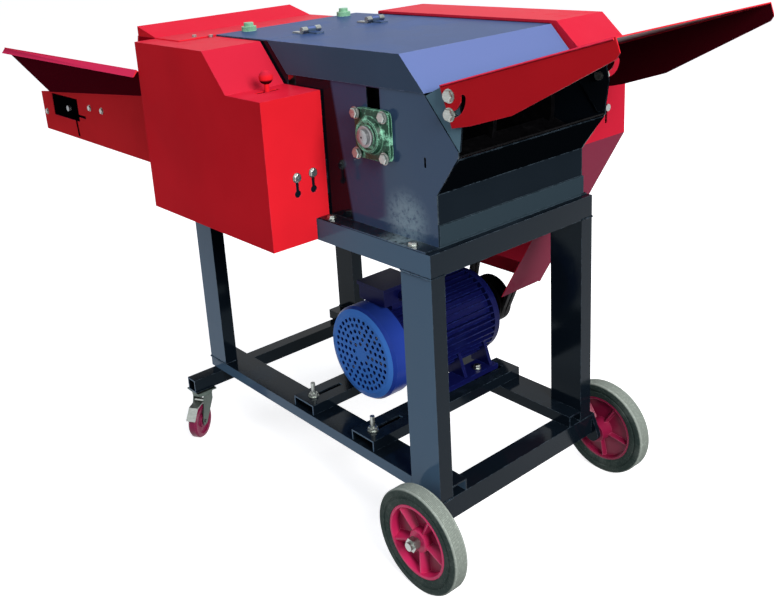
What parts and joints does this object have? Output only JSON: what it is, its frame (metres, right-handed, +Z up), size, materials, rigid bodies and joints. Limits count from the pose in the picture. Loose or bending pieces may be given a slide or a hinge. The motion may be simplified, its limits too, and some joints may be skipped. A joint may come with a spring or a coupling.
{
  "type": "chaff cutter",
  "caption": "Motor-driven chaff cutter on a wheeled steel frame: conveyor trough, ribbed feed rollers, knife rotor in a sheet-metal housing and a swinging discharge hood.",
  "frame": {"origin": "on the floor under the middle of the overall box", "axes": "+X from the feed trough to the discharge hood, +Y towards the belt guard, +Z up"},
  "size_m": [2.479, 0.87, 1.2621],
  "materials": {
    "charcoal_paint": "glossy charcoal blue paint",
    "red_paint": "glossy red paint",
    "motor_blue": "glossy blue paint",
    "hub_plastic": "moulded pink-red plastic",
    "caster_plastic": "moulded pink-red plastic",
    "tyre_rubber": "dusty solid rubber",
    "belt_rubber": "matt rubber",
    "black_iron": "black cast iron",
    "green_casting": "green enamelled casting",
    "zinc_steel": "zinc plated",
    "bare_steel": "machined steel"
  },
  "bodies": {
    "frame": {"feed_legs": "charcoal_paint", "discharge_legs": "charcoal_paint", "top_frame": "charcoal_paint", "lower_rails": "charcoal_paint", "feed_cross_tube": "charcoal_paint", "axle_beam": "charcoal_paint", "motor_rails": "charcoal_paint", "side_plate_near": "charcoal_paint", "side_plate_far": "charcoal_paint", "feed_top_plate": "charcoal_paint", "drum_shell": "charcoal_paint", "front_panel": "charcoal_paint", "mouth_flange": "charcoal_paint", "trough_floor": "red_paint", "trough_side_near": "red_paint", "trough_side_far": "red_paint", "feed_hood": "red_paint", "gear_cover": "red_paint", "belt_guard": "red_paint", "motor_body": "motor_blue", "motor_cowl": "motor_blue", "motor_end_bell": "motor_blue", "terminal_box": "motor_blue", "drive_belts": "belt_rubber", "conveyor_belt": "belt_rubber", "tail_blocks": "black_iron", "main_bearings": "green_casting", "tension_screws": "green_casting", "gearbox": "green_casting", "caster_plates": "zinc_steel", "bolts_and_pins": "zinc_steel", "wheel_axles": "zinc_steel", "counter_knife": "bare_steel"},
    "rotor": {"rotor_shaft": "bare_steel", "rotor_discs": "bare_steel", "rotor_blades": "bare_steel", "rotor_pulley": "black_iron"},
    "motor_rotor": {"motor_shaft": "bare_steel", "motor_pulley": "black_iron"},
    "feed_drive": {"feed_shaft": "bare_steel"},
    "lower_feed": {"lower_roller": "bare_steel", "lower_gear": "bare_steel"},
    "float": {"float_arms": "bare_steel"},
    "upper_feed": {"upper_roller": "bare_steel", "upper_gear": "bare_steel"},
    "conveyor_head": {"head_roller": "bare_steel"},
    "conveyor_tail": {"tail_roller": "bare_steel"},
    "cover": {"rotor_cover": "charcoal_paint"},
    "hood": {"discharge_hood": "red_paint"},
    "shifter": {"shift_lever": "red_paint"},
    "wheel_near": {"hub_near": "hub_plastic", "tyre_near": "tyre_rubber"},
    "wheel_far": {"hub_far": "hub_plastic", "tyre_far": "tyre_rubber"},
    "caster_near": {"caster_fork_near": "zinc_steel"},
    "caster_far": {"caster_fork_far": "zinc_steel"},
    "caster_roll_near": {"caster_wheel_near": "caster_plastic"},
    "caster_roll_far": {"caster_wheel_far": "caster_plastic"},
    "pedal_near": {"brake_pedal_near": "zinc_steel"},
    "pedal_far": {"brake_pedal_far": "zinc_steel"}
  },
  "joints": [
    {"name": "rotor_spin", "type": "hinge", "parent": "frame", "child": "rotor", "pos_m": [0.60747, 0, 1.012], "axis": [0, 1, 0], "continuous": true},
    {"name": "motor_spin", "type": "hinge", "parent": "frame", "child": "motor_rotor", "pos_m": [0.39847, 0, 0.372], "axis": [0, 1, 0], "continuous": true},
    {"name": "feed_shaft_spin", "type": "hinge", "parent": "frame", "child": "feed_drive", "pos_m": [0.20747, 0, 0.84], "axis": [0, 1, 0], "continuous": true},
    {"name": "lower_roller_spin", "type": "hinge", "parent": "frame", "child": "lower_feed", "pos_m": [0.30847, 0, 0.925], "axis": [0, 1, 0], "continuous": true},
    {"name": "float_swing", "type": "hinge", "parent": "frame", "child": "float", "pos_m": [0.16847, 0, 0.993], "axis": [0, -1, 0], "range_deg": [0, 5]},
    {"name": "upper_roller_spin", "type": "hinge", "parent": "float", "child": "upper_feed", "pos_m": [0.30847, 0, 1.061], "axis": [0, 1, 0], "continuous": true},
    {"name": "head_roller_spin", "type": "hinge", "parent": "frame", "child": "conveyor_head", "pos_m": [0.19847, 0, 0.94], "axis": [0, 1, 0], "continuous": true},
    {"name": "tail_roller_spin", "type": "hinge", "parent": "frame", "child": "conveyor_tail", "pos_m": [-0.99353, 0, 0.891], "axis": [0, 1, 0], "continuous": true},
    {"name": "cover_hinge", "type": "hinge", "parent": "frame", "child": "cover", "pos_m": [0.21847, 0, 1.205], "axis": [0, -1, 0], "range_deg": [0, 100]},
    {"name": "hood_hinge", "type": "hinge", "parent": "frame", "child": "hood", "pos_m": [0.84747, 0, 1.124], "axis": [0, 1, 0], "range_deg": [0, 90]},
    {"name": "shift_swing", "type": "hinge", "parent": "frame", "child": "shifter", "pos_m": [0.32647, -0.33, 0.985], "axis": [1, 0, 0], "range_deg": [-12, 12]},
    {"name": "wheel_near_spin", "type": "hinge", "parent": "frame", "child": "wheel_near", "pos_m": [0.81047, -0.348, 0.125], "axis": [0, 1, 0], "continuous": true},
    {"name": "wheel_far_spin", "type": "hinge", "parent": "frame", "child": "wheel_far", "pos_m": [0.81047, 0.325, 0.125], "axis": [0, 1, 0], "continuous": true},
    {"name": "caster_near_swivel", "type": "hinge", "parent": "frame", "child": "caster_near", "pos_m": [-0.14553, -0.35, 0.13], "axis": [0, 0, 1], "continuous": true},
    {"name": "caster_near_spin", "type": "hinge", "parent": "caster_near", "child": "caster_roll_near", "pos_m": [-0.12751, -0.37883, 0.05], "axis": [0.848, 0.5299, 0], "continuous": true},
    {"name": "pedal_near_press", "type": "hinge", "parent": "caster_near", "child": "pedal_near", "pos_m": [-0.13599, -0.36526, 0.1097], "axis": [0.848, 0.5299, 0], "range_deg": [-4, 6]},
    {"name": "caster_far_swivel", "type": "hinge", "parent": "frame", "child": "caster_far", "pos_m": [-0.14553, 0.327, 0.13], "axis": [0, 0, 1], "continuous": true},
    {"name": "caster_far_spin", "type": "hinge", "parent": "caster_far", "child": "caster_roll_far", "pos_m": [-0.12751, 0.35583, 0.05], "axis": [-0.848, 0.5299, 0], "continuous": true},
    {"name": "pedal_far_press", "type": "hinge", "parent": "caster_far", "child": "pedal_far", "pos_m": [-0.13599, 0.34226, 0.1097], "axis": [-0.848, 0.5299, 0], "range_deg": [-4, 6]}
  ],
  "couplings": [
    {"joint": "motor_spin", "follows": "rotor_spin", "ratio": 2},
    {"joint": "feed_shaft_spin", "follows": "rotor_spin", "ratio": 0.5},
    {"joint": "lower_roller_spin", "follows": "rotor_spin", "ratio": -0.125},
    {"joint": "upper_roller_spin", "follows": "rotor_spin", "ratio": 0.125},
    {"joint": "head_roller_spin", "follows": "rotor_spin", "ratio": -0.18354},
    {"joint": "tail_roller_spin", "follows": "rotor_spin", "ratio": -0.17845}
  ]
}
